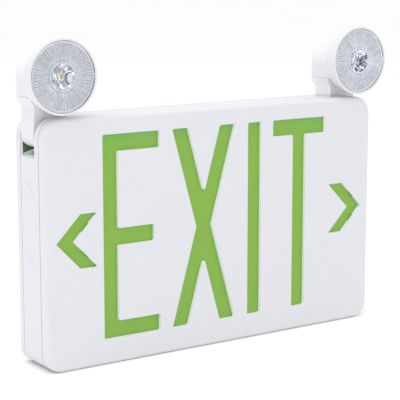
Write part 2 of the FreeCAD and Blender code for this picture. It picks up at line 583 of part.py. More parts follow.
def head():
    x, z = PX, LAMP_Z
    can = revolve_y([(0, CAN_Y1), (CAN_RR - 1.2, CAN_Y1), (CAN_RR - 0.35, CAN_Y1 - 0.35), (CAN_RR, CAN_Y1 - 1.2),
                     (CAN_RF - 0.05, CAN_Y0 + 1.1), (CAN_RF - 0.25, CAN_Y0 + 0.35), (CAN_RF - 0.8, CAN_Y0),
                     (0, CAN_Y0)], x, z)
    arch = poly([(x - ARCH_HW, HEAD_Z0), (x + ARCH_HW, HEAD_Z0), (x + ARCH_HW, ARCH_Z), (x - ARCH_HW, ARCH_Z)],
                CAN_Y1 - 2, HEAD_Y1)
    upper = box(x - 40, x + 40, 0, 60, ARCH_Z, ARCH_Z + 40)
    arch = arch.fuse(cyl("y", (x, ARCH_Z), ARCH_HW, CAN_Y1 - 2, HEAD_Y1).common(upper)).removeSplitter()
    arch = fillet(arch, 2.6, lambda e: flat_at(e, "y", HEAD_Y1) and e.BoundBox.ZMax > HEAD_Z0 + 12)
    # its back corners follow the seat's plan
    arch = arch.common(plan(0.0, 190, 240)).removeSplitter()
    s = join(can, arch)
    # inside of the can, with the step that the lens sits on
    s = s.cut(revolve_y([(0, CAN_Y0 - 1), (LENS_R + 0.15, CAN_Y0 - 1), (LENS_R + 0.15, -0.7), (24.4, -0.7),
                         (23.4, 7.6), (0, 7.6)], x, z))
    # inside of the block
    cav = poly([(x - ARCH_HW + 2.2, HEAD_Z0 + 2.3), (x + ARCH_HW - 2.2, HEAD_Z0 + 2.3), (x + ARCH_HW - 2.2, ARCH_Z),
                (x - ARCH_HW + 2.2, ARCH_Z)], CAN_Y1 + 2.2, HEAD_Y1 - 2.6)
    cav = cav.fuse(cyl("y", (x, ARCH_Z), ARCH_HW - 2.2, CAN_Y1 + 2.2, HEAD_Y1 - 2.6).common(upper))
    cav = cav.common(plan(2.3, 190, 240))
    s = s.cut(cav)
    s = s.cut(cyl("y", (x, 207.5), 4.0, 5, CAN_Y1 + 3))
    s = s.cut(cyl("z", (x, YC), STUD_R + 0.06, HEAD_Z0 - 1, HEAD_Z0 + 4))
    return s


def stud():
    # hollow stud, fixed in the arm; its collar sits under the arm's top wall
    s = cyl("z", (PX, YC), STUD_R, 190.55, 206.0)
    s = s.cut(cyl("z", (PX, YC), 2.6, 180, 210))
    s = s.cut(tube("z", (PX, YC), 5, STUD_R - 0.5, 203.1, 204.1))
    return s


def ring():
    # split retaining ring in the stud's groove, just above the head's floor
    s = tube("z", (PX, YC), 6.6, STUD_R - 0.45, 203.2, 204.0)
    return s.cut(box(PX - 1.2, PX + 1.2, YC - 10, YC, 202, 206))


def lens():
    return revolve_y([(9.2, -2.9), (LENS_R - 0.3, -2.9), (LENS_R, -2.6), (LENS_R, -1.0), (23.6, -1.0),
                      (22.6, 0.2), (13.0, 3.9), (8.2, 4.1), (5.4, 4.1), (5.0, 0.6), (0, 0.6), (0, -0.6),
                      (5.0, -0.6), (8.2, -1.6)], PX, LAMP_Z)


def sink():
    s = cyl("y", (PX, LAMP_Z), 22.4, 6.5, 7.5)
    s = s.cut(cyl("y", (PX, 207.5), 3.2, 6, 8))
    return s


def star():
    s = cyl("y", (PX, LAMP_Z), 10.0, 5.1, 6.45)
    for k in range(6):
        a = math.radians(60 * k + 30)
        s = s.cut(cyl("y", (PX + 10.2 * math.cos(a), LAMP_Z + 10.2 * math.sin(a)), 1.7, 5, 7))
    return s


def emitter():
    b = fillet(box(PX - 2.6, PX + 2.6, 4.2, 5.05, LAMP_Z - 2.6, LAMP_Z + 2.6), 0.4, along_y)
    d = cyl("y", (PX, LAMP_Z), 1.9, 3.2, 4.3)
    d = fillet(d, 0.9, lambda e: flat_at(e, "y", 3.2))
    return join(b, d)


for name, f in (("arm", arm), ("arm_pin", pin), ("arm_spring_washer", washer), ("head_shell", head),
                ("swivel_stud", stud), ("swivel_ring", ring), ("lens", lens), ("heat_sink", sink),
                ("led_board", star), ("led_emitter", emitter)):
    s = f()
    parts["right_" + name] = s
    parts["left_" + name] = mirror(s)

# ---------------------------------------------------------------------- write
for name, s in parts.items():
    s = s.copy()
    s.translate(V(0, -Y_MID, 0))
    b = s.BoundBox
    ok = s.isValid()
    print("%-22s solids %2d vol %9.1f valid %s  x %.1f..%.1f y %.1f..%.1f z %.1f..%.1f" % (
        name, len(s.Solids), s.Volume, ok, b.XMin, b.XMax, b.YMin, b.YMax, b.ZMin, b.ZMax))
    s.exportStep("parts/%s.step" % name)
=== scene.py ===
import json
import math

import bmesh
import bpy
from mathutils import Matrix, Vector


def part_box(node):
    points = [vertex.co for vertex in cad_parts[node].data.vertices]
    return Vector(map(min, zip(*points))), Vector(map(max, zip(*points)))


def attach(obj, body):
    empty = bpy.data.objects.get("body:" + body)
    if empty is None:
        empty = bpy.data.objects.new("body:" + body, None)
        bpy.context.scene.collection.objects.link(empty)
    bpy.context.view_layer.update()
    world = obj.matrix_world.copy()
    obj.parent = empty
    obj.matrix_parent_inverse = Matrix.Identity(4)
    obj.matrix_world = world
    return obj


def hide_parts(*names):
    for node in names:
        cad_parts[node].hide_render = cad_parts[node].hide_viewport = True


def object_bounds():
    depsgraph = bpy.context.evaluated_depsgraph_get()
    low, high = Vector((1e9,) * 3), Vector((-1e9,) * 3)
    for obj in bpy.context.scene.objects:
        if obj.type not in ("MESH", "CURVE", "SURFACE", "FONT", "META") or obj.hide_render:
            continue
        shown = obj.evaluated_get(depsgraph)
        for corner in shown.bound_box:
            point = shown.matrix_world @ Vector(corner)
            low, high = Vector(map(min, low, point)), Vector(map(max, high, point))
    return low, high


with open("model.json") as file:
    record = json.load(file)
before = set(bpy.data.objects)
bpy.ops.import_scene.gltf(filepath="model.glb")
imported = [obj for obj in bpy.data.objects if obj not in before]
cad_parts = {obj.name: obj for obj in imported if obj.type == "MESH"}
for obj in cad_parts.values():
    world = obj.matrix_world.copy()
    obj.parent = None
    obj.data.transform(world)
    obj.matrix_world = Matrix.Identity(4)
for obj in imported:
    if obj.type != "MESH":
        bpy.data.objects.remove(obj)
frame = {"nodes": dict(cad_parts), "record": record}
cad_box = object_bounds()
nodes = frame["nodes"]
MM = 0.001


def mm(x, y, z):
    return Vector((x, y, z)) * MM


# ------------------------------------------------------------ node shorthands
class Mat:
    """A node material under construction; every helper returns an output socket."""

    def __init__(self, name):
        self.m = bpy.data.materials.new(name)
        self.m.use_nodes = True
        self.t = self.m.node_tree
        self.bsdf = self.t.nodes["Principled BSDF"]
        self.out = self.t.nodes["Material Output"]
        self._co = None

    def node(self, kind, **props):
        n = self.t.nodes.new(kind)
        for k, v in props.items():
            setattr(n, k, v)
        return n

    def link(self, a, b):
        self.t.links.new(a, b)

    def put(self, sock, value):
        if hasattr(value, "is_linked") or hasattr(value, "links"):
            self.link(value, sock)
        else:
            sock.default_value = value

    def co(self):
        if self._co is None:
            self._co = self.node("ShaderNodeTexCoord").outputs["Object"]
        return self._co

    def mapped(self, loc=(0, 0, 0), rot=(0, 0, 0), scale=(1, 1, 1)):
        n = self.node("ShaderNodeMapping")
        n.inputs["Location"].default_value = loc
        n.inputs["Rotation"].default_value = rot
        n.inputs["Scale"].default_value = scale
        self.link(self.co(), n.inputs["Vector"])
        return n.outputs["Vector"]

    def noise(self, scale, detail=2.0, rough=0.5, vec=None, dist=0.0):
        n = self.node("ShaderNodeTexNoise")
        n.inputs["Scale"].default_value = scale
        n.inputs["Detail"].default_value = detail
        n.inputs["Roughness"].default_value = rough
        n.inputs["Distortion"].default_value = dist
        self.link(vec if vec is not None else self.co(), n.inputs["Vector"])
        return n.outputs["Fac"]

    def voronoi(self, scale, feature="F1", vec=None, out="Distance", randomness=1.0):
        n = self.node("ShaderNodeTexVoronoi", feature=feature)
        n.inputs["Scale"].default_value = scale
        n.inputs["Randomness"].default_value = randomness
        self.link(vec if vec is not None else self.co(), n.inputs["Vector"])
        return n.outputs[out]

    def math(self, op, a, b=0.0, c=0.0):
        n = self.node("ShaderNodeMath", operation=op)
        self.put(n.inputs[0], a)
        self.put(n.inputs[1], b)
        self.put(n.inputs[2], c)
        return n.outputs[0]

    def ramp(self, fac, stops, interp="LINEAR"):
        n = self.node("ShaderNodeValToRGB")
        n.color_ramp.interpolation = interp
        el = n.color_ramp.elements
        el[0].position, el[0].color = stops[0][0], self.rgba(stops[0][1])
        el[1].position, el[1].color = stops[-1][0], self.rgba(stops[-1][1])
        for p, c in stops[1:-1]:
            e = el.new(p)
            e.color = self.rgba(c)
        self.link(fac, n.inputs["Fac"])
        return n.outputs["Color"]

    @staticmethod
    def rgba(c):
        if isinstance(c, (int, float)):
            return (c, c, c, 1.0)
        return (c[0], c[1], c[2], 1.0)

    def range(self, fac, lo, hi, a=0.0, b=1.0):
        n = self.node("ShaderNodeMapRange")
        n.inputs["From Min"].default_value = a
        n.inputs["From Max"].default_value = b
        n.inputs["To Min"].default_value = lo
        n.inputs["To Max"].default_value = hi
        self.link(fac, n.inputs["Value"])
        return n.outputs["Result"]

    def mix(self, fac, a, b, blend="MIX"):
        n = self.node("ShaderNodeMix", data_type="RGBA", blend_type=blend)
        self.put(n.inputs["Factor"], fac)
        ins = [s for s in n.inputs if s.type == "RGBA"]
        self.put(ins[0], a if hasattr(a, "links") else self.rgba(a))
        self.put(ins[1], b if hasattr(b, "links") else self.rgba(b))
        return [s for s in n.outputs if s.type == "RGBA"][0]

    def xyz(self, vec=None):
        n = self.node("ShaderNodeSeparateXYZ")
        self.link(vec if vec is not None else self.co(), n.inputs[0])
        return n.outputs[0], n.outputs[1], n.outputs[2]

    def bump(self, height, strength=0.3, distance=0.0001, normal=None):
        n = self.node("ShaderNodeBump")
        n.inputs["Strength"].default_value = strength
        n.inputs["Distance"].default_value = distance
        self.link(height, n.inputs["Height"])
        if normal is not None:
            self.link(normal, n.inputs["Normal"])
        return n.outputs["Normal"]

    def bevel(self, radius):
        n = self.node("ShaderNodeBevel", samples=4)
        n.inputs["Radius"].default_value = radius
        return n.outputs["Normal"]

    def ao(self, distance, inside=False):
        n = self.node("ShaderNodeAmbientOcclusion", samples=4, inside=inside)
        n.inputs["Distance"].default_value = distance
        return n.outputs["AO"]

    def finish(self, color=None, rough=None, normal=None, **consts):
        b = self.bsdf.inputs
        if color is not None:
            self.put(b["Base Color"], color)
        if rough is not None:
            self.put(b["Roughness"], rough)
        if normal is not None:
            self.link(normal, b["Normal"])
        for k, v in consts.items():
            b[k.replace("_", " ")].default_value = v
        return self.m


# ----------------------------------------------------------------- materials
def white_plastic(name, tint=(0.684, 0.688, 0.722), grain=2600.0, rough=(0.34, 0.42), seam_shade=0.016, bevel=0.0003, cut_edges=False, painted_neck_light=None, notch=False):
    """Injection-moulded white ABS: fine spark grain, faint flow mottling, soft edges, a little painted shade in the
    seams.
    cut_edges: the walls of the legend's openings, painted pale and faintly green as painted light from the sheet behind
    showing through the skin."""
    m = Mat(name)
    cloud = m.noise(22.0, 3.0, 0.55)
    fine = m.noise(420.0, 2.0, 0.6)
    warm = tuple(min(1.0, c * k) for c, k in zip(tint, (1.010, 1.006, 0.994)))
    cool = tuple(c * k for c, k in zip(tint, (0.986, 0.990, 1.0)))
    base = m.ramp(cloud, [(0.30, cool), (0.55, tint), (0.75, warm)])
    speck = m.ramp(fine, [(0.32, 0.975), (0.52, 1.0), (0.80, 1.0)])
    base = m.mix(1.0, base, speck, "MULTIPLY")
    # painted shade: the colour is darkened where the AO node finds other surfaces close by, in seams and corners
    occ = m.ao(0.0016)
    shade = m.ramp(occ, [(0.0, (1 - seam_shade * 3.2, 1 - seam_shade * 3.2, 1 - seam_shade * 3.0)), (0.55, (1 - seam_shade, 1 - seam_shade, 1 - seam_shade)), (1.0, 1.0)])
    base = m.mix(1.0, base, shade, "MULTIPLY")
    # painted light: the walls of the openings in the cover are painted paler and faintly green
    if cut_edges:
        x, y, z = m.xyz()
        inside = m.math("MULTIPLY", m.range(y, 0.0, 1.0, -0.0206, -0.0203), m.range(m.math("ABSOLUTE", x), 1.0, 0.0, 0.1468, 0.1472))
        inside = m.math("MULTIPLY", inside, m.math("MULTIPLY", m.range(z, 0.0, 1.0, 0.0150, 0.0154), m.range(z, 1.0, 0.0, 0.1746, 0.1750)))
        painted_wall_light = m.ramp(m.range(y, 0.0, 1.0, -0.0205, -0.0182), [(0.0, (0.92, 0.94, 0.95)), (0.5, (0.94, 0.96, 0.96)), (1.0, (0.93, 0.96, 0.95))])
        base = m.mix(inside, base, painted_wall_light)
    # painted light: the walls and floor inside each arm notch are painted paler where they stand in shade
    if notch:
        x, y, z = m.xyz()
        wall = m.math("MULTIPLY", m.range(m.math("ABSOLUTE", x), 0.0, 1.0, 0.1205, 0.1212), m.range(m.math("ABSOLUTE", x), 1.0, 0.0, 0.1498, 0.1508))
        wall = m.math("MULTIPLY", wall, m.math("MULTIPLY", m.range(z, 0.0, 1.0, 0.1560, 0.1566), m.range(y, 0.0, 1.0, -0.0030, -0.0025)))
        wall = m.math("MULTIPLY", wall, m.math("MULTIPLY", m.range(z, 1.0, 0.0, 0.1800, 0.1830), m.range(y, 1.0, 0.0, 0.0172, 0.0178)))
        base = m.mix(wall, base, m.ramp(cloud, [(0.3, (0.95, 0.95, 0.94)), (0.7, (0.97, 0.97, 0.955))]))
    # painted light: the front of each arm's neck under its head is painted paler; the third value sets how much of this
    # reaches the side faces
    if painted_neck_light:
        x, y, z = m.xyz()
        top = m.math("MULTIPLY", m.range(z, 0.0, 1.0, painted_neck_light[0], painted_neck_light[1]), m.range(y, 1.0, painted_neck_light[2], -0.0023, -0.0015))
        base = m.mix(top, base, m.ramp(cloud, [(0.3, (0.95, 0.95, 0.95)), (0.7, (0.97, 0.97, 0.965))]))
    g = m.noise(grain, 2.0, 0.65)
    v = m.voronoi(grain * 0.55)
    h = m.math("ADD", m.math("MULTIPLY", g, 0.7), m.math("MULTIPLY", v, 0.3))
    wave = m.noise(38.0, 1.0, 0.4)
    n1 = m.bump(wave, 0.25, 0.00006, m.bevel(bevel))
    n2 = m.bump(h, 0.16, 0.00003, n1)
    r = m.range(m.math("ADD", m.math("MULTIPLY", cloud, 0.5), m.math("MULTIPLY", g, 0.5)), rough[0], rough[1], 0.3, 0.7)
    return m.finish(base, r, n2, IOR=1.49)


def green_acrylic():
    """Translucent green sheet: cast colour with faint clouding and a polished skin."""
    m = Mat("green_acrylic")
    cloud = m.noise(16.0, 3.0, 0.6)
    fine = m.noise(900.0, 2.0, 0.5)
    base = m.ramp(cloud, [(0.3, (0.190, 0.396, 0.029)), (0.55, (0.196, 0.406, 0.032)), (0.75, (0.202, 0.416, 0.035))])
    base = m.mix(1.0, base, m.ramp(fine, [(0.3, 0.965), (0.6, 1.0), (0.8, 1.0)]), "MULTIPLY")
    # painted shade: a darker teal green where the AO node finds the opening walls close, along the letters' edges
    occ = m.ao(0.0026)
    base = m.mix(m.range(occ, 0.85, 0.0, 0.05, 0.66), base, (0.100, 0.44, 0.14))
    x, y, z = m.xyz()
    # painted shade: a teal shade runs down from the tops of the letters
    head = m.range(z, 0.0, 0.34, 0.1615, 0.1722)
    base = m.mix(head, base, (0.105, 0.41, 0.125))
    n = m.bump(m.noise(260.0, 2.0), 0.12, 0.00002)
    n = m.bump(m.noise(3000.0, 1.0), 0.08, 0.00001, n)
    return m.finish(base, m.range(fine, 0.26, 0.36, 0.3, 0.7), n, IOR=1.49, Coat_Weight=0.25, Coat_Roughness=0.12)


def steel(name, tint=(0.60, 0.60, 0.58), rough=(0.24, 0.42)):
    m = Mat(name)
    brushed = m.noise(900.0, 3.0, 0.6, m.mapped(scale=(1.0, 0.12, 1.0)))
    blotch = m.noise(240.0, 3.0)
    base = m.ramp(blotch, [(0.3, tuple(c * 0.86 for c in tint)), (0.6, tint), (0.8, tuple(min(1, c * 1.1) for c in tint))])
    n = m.bump(brushed, 0.25, 0.00003, m.bevel(0.00012))
    return m.finish(base, m.range(brushed, rough[0], rough[1], 0.25, 0.75), n, Metallic=1.0)


def solder_mask(name, color=(0.085, 0.225, 0.070), trace=(0.115, 0.285, 0.095)):
    """Printed board: mask colour, faint copper tracks underneath and tinned pads."""
    m = Mat(name)
    x, y, z = m.xyz()
    gx = m.math("PINGPONG", m.math("MULTIPLY", x, 1.0), 0.0021)
    gz = m.math("PINGPONG", m.math("MULTIPLY", z, 1.0), 0.0034)
    lines = m.math("MAXIMUM", m.range(gx, 1.0, 0.0, 0.00025, 0.00042), m.range(gz, 1.0, 0.0, 0.0003, 0.0005))
    gate = m.range(m.noise(90.0, 1.0), 0.0, 1.0, 0.48, 0.52)
    track = m.math("MULTIPLY", lines, gate)
    base = m.mix(track, color, trace)
    pads = m.range(m.voronoi(420.0, randomness=0.7), 1.0, 0.0, 0.16, 0.20)
    pads = m.math("MULTIPLY", pads, m.range(m.noise(60.0, 1.0), 0.0, 1.0, 0.52, 0.56))
    base = m.mix(pads, base, (0.62, 0.60, 0.52))
    base = m.mix(m.range(m.noise(700.0, 2.0), 0.0, 0.18), base, (0.01, 0.05, 0.02))
    bare = m.range(x, 1.0, 0.0, -0.1466, -0.1460)                 # bare margin along the left edge; its dark brown also stands in for the shade in the space between the back plate's wall and the board (painted shade)
    fibre = m.ramp(m.noise(700.0, 2.0, vec=m.mapped(scale=(0.3, 1, 1))), [(0.3, (0.15, 0.135, 0.12)), (0.7, (0.24, 0.215, 0.185))])
    base = m.mix(bare, base, fibre)
    n = m.bump(m.math("ADD", track, pads), 0.5, 0.00004)
    return m.finish(base, m.range(m.noise(300.0, 2.0), 0.22, 0.36), n, IOR=1.5)


def moulded(name, color, rough=(0.3, 0.5), vary=0.12, scale=300.0, bump=0.2, **kw):
    m = Mat(name)
    a = m.noise(scale, 3.0, 0.6)
    lo = tuple(c * (1 - vary) for c in color)
    hi = tuple(min(1.0, c * (1 + vary)) for c in color)
    base = m.ramp(a, [(0.3, lo), (0.55, color), (0.75, hi)])
    g = m.noise(scale * 7, 2.0)
    n = m.bump(g, bump, 0.00003, m.bevel(0.0002))
    return m.finish(base, m.range(a, rough[0], rough[1], 0.3, 0.7), n, **kw)


def transformer_mat():
    """Stacked laminations outside, brown taped coil in the middle, varnish over both."""
    m = Mat("transformer_laminations")
    x, y, z = m.xyz()
    lam = m.range(m.math("PINGPONG", y, 0.00035), 0.0, 1.0, 0.0, 0.00035)
    core = m.mix(lam, (0.09, 0.09, 0.095), (0.26, 0.26, 0.27))
    tape = m.mix(m.range(m.noise(160.0, 2.0, vec=m.mapped(scale=(0.2, 1, 1))), 0, 1, 0.3, 0.7), (0.42, 0.30, 0.07), (0.60, 0.45, 0.13))
    front = m.range(y, 1.0, 0.0, 0.0015, 0.0032)
    base = m.mix(front, core, tape)
    n = m.bump(lam, 0.35, 0.0001)
    return m.finish(base, m.range(m.noise(200.0, 2.0), 0.25, 0.45), n)


def led_mat():
    m = Mat("led_phosphor")
    base = m.ramp(m.noise(900.0, 2.0), [(0.3, (0.62, 0.42, 0.06)), (0.55, (0.80, 0.58, 0.12)), (0.75, (0.95, 0.80, 0.35))])
    n = m.bump(m.noise(4000.0, 1.0), 0.2, 0.00002)
    return m.finish(base, m.range(m.noise(1200.0), 0.12, 0.3), n, Coat_Weight=1.0, Coat_Roughness=0.03, IOR=1.5)


def lamp_axis(side):
    lo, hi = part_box(side + "_lens")
    return (lo[0] + hi[0]) / 2, lo[1], (lo[2] + hi[2]) / 2, (hi[0] - lo[0]) / 2


def polar(m, cx, cz):
    """Radius and angle about a lamp's axis, from object coordinates."""
    x, y, z = m.xyz()
    dx = m.math("SUBTRACT", x, cx)
    dz = m.math("SUBTRACT", z, cz)
    r = m.math("SQRT", m.math("ADD", m.math("MULTIPLY", dx, dx), m.math("MULTIPLY", dz, dz)))
    a = m.math("ARCTAN2", dz, dx)
    return r, a


FLUTES = 66
PITCH = 0.00095                                    # spacing of the rings that cross the flutes
TABS = ((-90.0, 17.0), (0.0, 5.0), (57.0, 15.0), (187.0, 3.0))      # snap tabs round the lens: angle, half width in degrees


def prism_mat(side):
    """Clear lens with pillow optics, shown opaque: pale blue-grey flutes, darker in their valleys, crossed by fine
    rings, all painted light and shade standing in for what the clear plastic refracts and reflects.
    """
    cx, y0, cz, R = lamp_axis(side)
    m = Mat(side + "_lens_optics")
    r, a = polar(m, cx, cz)
    flute = m.math("ABSOLUTE", m.math("SINE", m.math("MULTIPLY", a, FLUTES / 2.0)))
    ring = m.math("ABSOLUTE", m.math("SINE", m.math("MULTIPLY", r, math.pi / PITCH)))
    seed = 3.1 if side == "left" else 7.7
    ca, sa = m.math("COSINE", a), m.math("SINE", a)

    def around(z):
        c = m.node("ShaderNodeCombineXYZ")
        m.link(ca, c.inputs[0])
        m.link(sa, c.inputs[1])
        m.put(c.inputs[2], z)
        return c.outputs[0]

    drift = m.noise(2.4, 2.0, 0.6, around(seed))
    streak = m.noise(26.0, 2.0, 0.75, around(m.math("ADD", m.math("MULTIPLY", r, 9.0), seed)))
    lump = m.noise(9.0, 2.0, 0.6, around(m.math("ADD", m.math("MULTIPLY", r, 160.0), seed + 4.0)))
    field = m.math("ADD", m.math("MULTIPLY", m.math("POWER", flute, 0.55), 0.32), m.math("MULTIPLY", streak, 0.85))
    field = m.math("ADD", field, m.math("MULTIPLY", ring, 0.24))
    field = m.math("ADD", field, m.math("MULTIPLY", m.math("SUBTRACT", drift, 0.5), 0.34))
    field = m.math("ADD", field, m.math("MULTIPLY", m.math("SUBTRACT", lump, 0.5), 0.30))
    field = m.math("SUBTRACT", field, 0.03)
    base = m.ramp(field, [(0.34, (0.26, 0.275, 0.33)), (0.56, (0.42, 0.432, 0.485)), (0.74, (0.525, 0.535, 0.585)),
                          (0.92, (0.62, 0.63, 0.68)), (1.0, (0.76, 0.775, 0.82))])
    # painted: bluer and livelier close to the bowl with painted glints, a painted shade line at the lip's foot and a
    # painted highlight on the lip
    near = m.range(r, 1.0, 0.0, 0.0112, 0.0160)
    inner = m.ramp(field, [(0.36, (0.27, 0.31, 0.40)), (0.58, (0.45, 0.49, 0.575)), (0.78, (0.575, 0.61, 0.68)), (0.98, (0.93, 0.96, 1.0))])
    base = m.mix(m.math("MULTIPLY", near, 0.85), base, inner)
    # painted shade: darker ticks in the flute valleys
    valley = m.math("POWER", m.math("SUBTRACT", 1.0, flute), 2.2)
    valley_shade = m.math("MULTIPLY", valley, m.range(m.noise(17.0, 1.0, 0.5, around(seed + 9.0)), 0.05, 0.75, 0.38, 0.62))
    valley_shade = m.math("MULTIPLY", valley_shade, m.range(r, 0.0, 1.0, 0.0135, 0.0155))
    base = m.mix(valley_shade, base, m.mix(1.0, base, (0.52, 0.53, 0.58), "MULTIPLY"))
    foot = m.math("MULTIPLY", m.range(r, 0.0, 1.0, 0.01070, 0.01090), m.range(r, 1.0, 0.0, 0.01120, 0.01145))
    base = m.mix(m.math("MULTIPLY", foot, 0.75), base, (0.33, 0.36, 0.43))
    lip = m.range(r, 1.0, 0.0, 0.01060, 0.01075)
    base = m.mix(m.math("MULTIPLY", lip, 0.7), base, m.ramp(streak, [(0.35, (0.50, 0.54, 0.63)), (0.6, (0.78, 0.81, 0.87))]))
    # plain band inside the edge, made lighter and darker round the lens by painted light, then the shadow gap, a real
    # groove also painted dark as its shade, bridged where the tabs snap in
    band = m.range(r, 0.0, 1.0, R - 0.0019, R - 0.0017)
    rim = m.ramp(m.noise(60.0, 2.0), [(0.3, (0.60, 0.61, 0.645)), (0.7, (0.72, 0.725, 0.76))])
    lean, once, twice = (100.0, 0.10, 0.09) if side == "left" else (0.0, 0.09, 0.0)
    painted_rim_light = m.math("ADD", 1.02, m.math("MULTIPLY", m.math("COSINE", m.math("SUBTRACT", a, math.radians(lean))), once))
    painted_rim_light = m.math("SUBTRACT", painted_rim_light, m.math("MULTIPLY", m.math("COSINE", m.math("MULTIPLY", a, 2.0)), twice))
    rim = m.mix(1.0, rim, painted_rim_light, "MULTIPLY")
    base = m.mix(band, base, rim)
    gap = m.range(r, 0.0, 1.0, R - 0.00055, R - 0.00045)
    tab = None
    for deg, half in TABS:
        d = m.math("COSINE", m.math("SUBTRACT", a, math.radians(deg)))
        t = m.range(d, 0.0, 1.0, math.cos(math.radians(half + 0.8)), math.cos(math.radians(half)))
        tab = t if tab is None else m.math("MAXIMUM", tab, t)
    gap = m.math("MULTIPLY", gap, m.math("SUBTRACT", 1.0, tab))
    # painted shade: the gap is darkest towards its right and left
    right_gap_shade = m.range(m.math("COSINE", m.math("SUBTRACT", a, math.radians(-17.0))), 0.0, 1.0, 0.62, 0.93)
    left_gap_shade = m.range(m.math("COSINE", m.math("SUBTRACT", a, math.radians(177.0))), 0.0, 0.9, 0.80, 0.98)
    base = m.mix(gap, base, m.ramp(m.math("MAXIMUM", right_gap_shade, left_gap_shade), [(0.0, (0.66, 0.665, 0.69)), (1.0, (0.24, 0.242, 0.265))]))
    # painted light and shade: each lamp's lens is dimmed by its own factor (the left more), and the band a little
    k = 0.88 if side == "left" else 0.955
    shade = m.mix(band, (k * 0.985, k, k * 1.022), (0.91, 0.912, 0.92))
    base = m.mix(1.0, base, shade, "MULTIPLY")
    n = m.bump(m.noise(900.0, 2.0), 0.08, 0.00003)
    return m.finish(base, m.range(streak, 0.22, 0.40, 0.3, 0.7), n, IOR=1.5, Coat_Weight=0.30, Coat_Roughness=0.08)


def clear_mat(name="clear_polycarbonate"):
    m = Mat(name)
    a = m.noise(60.0, 2.0)
    base = m.ramp(a, [(0.3, (0.93, 0.95, 0.98)), (0.7, (0.98, 0.985, 0.99))])
    n = m.bump(m.noise(500.0, 2.0), 0.05, 0.00003)
    m.finish(base, m.range(a, 0.02, 0.06), n, IOR=1.49)
    m.bsdf.inputs["Transmission Weight"].default_value = 1.0
    return m.m


def bowl_mat(side):
    """Collimator bowl: bright, with grey, white and blue painted glints and reflections broken into facets."""
    cx, y0, cz, R = lamp_axis(side)
    m = Mat(side + "_bowl_painted_glints")
    r, a = polar(m, cx, cz)
    c = m.node("ShaderNodeCombineXYZ")
    m.link(m.math("MULTIPLY", m.math("COSINE", a), 2.6), c.inputs[0])
    m.link(m.math("MULTIPLY", m.math("SINE", a), 2.6), c.inputs[1])
    m.link(m.math("MULTIPLY", r, 330.0), c.inputs[2])
    bw = m.node("ShaderNodeRGBToBW")
    m.link(m.voronoi(1.35 if side == "left" else 1.9, vec=c.outputs[0], out="Color"), bw.inputs[0])
    swirl = m.noise(1.6, 3.0, 0.7, c.outputs[0], 0.8)
    v = m.math("ADD", m.math("MULTIPLY", bw.outputs[0], 0.55), m.math("MULTIPLY", swirl, 0.55))
    if side == "left":
        base = m.ramp(v, [(0.30, (0.20, 0.21, 0.24)), (0.43, (0.33, 0.34, 0.385)), (0.53, (0.455, 0.465, 0.50)),
                          (0.63, (0.56, 0.57, 0.60)), (0.74, (0.97, 0.98, 1.0))])
        # gold contacts seen through the wall, painted on as brown-gold spots (a painted reflection)
        x, y, z = m.xyz()
        for gx, gz, gr in ((0.0024, 0.0034, 0.0009), (0.0006, -0.0043, 0.0008)):
            dx = m.math("DIVIDE", m.math("SUBTRACT", x, cx + gx), gr)
            dz = m.math("DIVIDE", m.math("SUBTRACT", z, cz + gz), gr)
            d = m.math("ADD", m.math("MULTIPLY", dx, dx), m.math("MULTIPLY", dz, dz))
            base = m.mix(m.range(d, 0.85, 0.0, 0.5, 1.6), base, (0.34, 0.27, 0.11))
    else:
        # painted reflections: the right lamp's bowl is darker and bluer, with a shift that darkens it towards one side
        v = m.math("SUBTRACT", v, m.math("MULTIPLY", m.math("COSINE", m.math("SUBTRACT", a, -0.35)), 0.055))
        base = m.ramp(v, [(0.33, (0.035, 0.045, 0.075)), (0.43, (0.10, 0.13, 0.20)), (0.49, (0.36, 0.40, 0.50)),
                          (0.57, (0.58, 0.60, 0.66)), (0.68, (0.98, 0.99, 1.0))])
    n = m.bump(swirl, 0.6, 0.0006)
    return m.finish(base, m.range(swirl, 0.08, 0.25, 0.3, 0.7), n, Metallic=0.35, Coat_Weight=0.8, Coat_Roughness=0.04)


def emitter_mat(side):
    """Light source behind its window: amber phosphor, pale ring, painted brown-gold glints."""
    cx, y0, cz, R = lamp_axis(side)
    m = Mat(side + "_emitter_window")
    r, a = polar(m, cx, cz)
    c = m.node("ShaderNodeCombineXYZ")
    m.link(m.math("MULTIPLY", m.math("COSINE", a), 1.7), c.inputs[0])
    m.link(m.math("MULTIPLY", m.math("SINE", a), 1.7), c.inputs[1])
    m.link(m.math("MULTIPLY", r, 420.0), c.inputs[2])
    blot = m.noise(1.5, 2.0, 0.6, c.outputs[0])
    amber = m.ramp(blot, [(0.3, (0.20, 0.14, 0.04)), (0.5, (0.36, 0.28, 0.09)), (0.7, (0.55, 0.46, 0.20))])
    pale = m.ramp(blot, [(0.34, (0.34, 0.27, 0.15)), (0.44, (0.62, 0.62, 0.63)), (0.6, (0.86, 0.87, 0.90))])
    # painted reflection: the right lamp's emitter is dimmed towards dark blue-grey
    if side == "right":
        amber = m.mix(0.75, amber, (0.16, 0.19, 0.26))
        pale = m.ramp(blot, [(0.36, (0.09, 0.11, 0.16)), (0.46, (0.33, 0.37, 0.46)), (0.6, (0.86, 0.88, 0.93))])
    x, y, z = m.xyz()
    ex = m.math("DIVIDE", m.math("SUBTRACT", x, cx), 0.00105)
    ez = m.math("DIVIDE", m.math("SUBTRACT", z, cz), 0.00185)
    die = m.math("ADD", m.math("MULTIPLY", ex, ex), m.math("MULTIPLY", ez, ez))
    base = m.mix(m.range(die, 0.0, 1.0, 0.8, 1.35), amber, pale)
    n = m.bump(blot, 0.4, 0.0003)
    return m.finish(base, m.range(blot, 0.08, 0.22, 0.3, 0.7), n, IOR=1.5, Coat_Weight=1.0, Coat_Roughness=0.03)


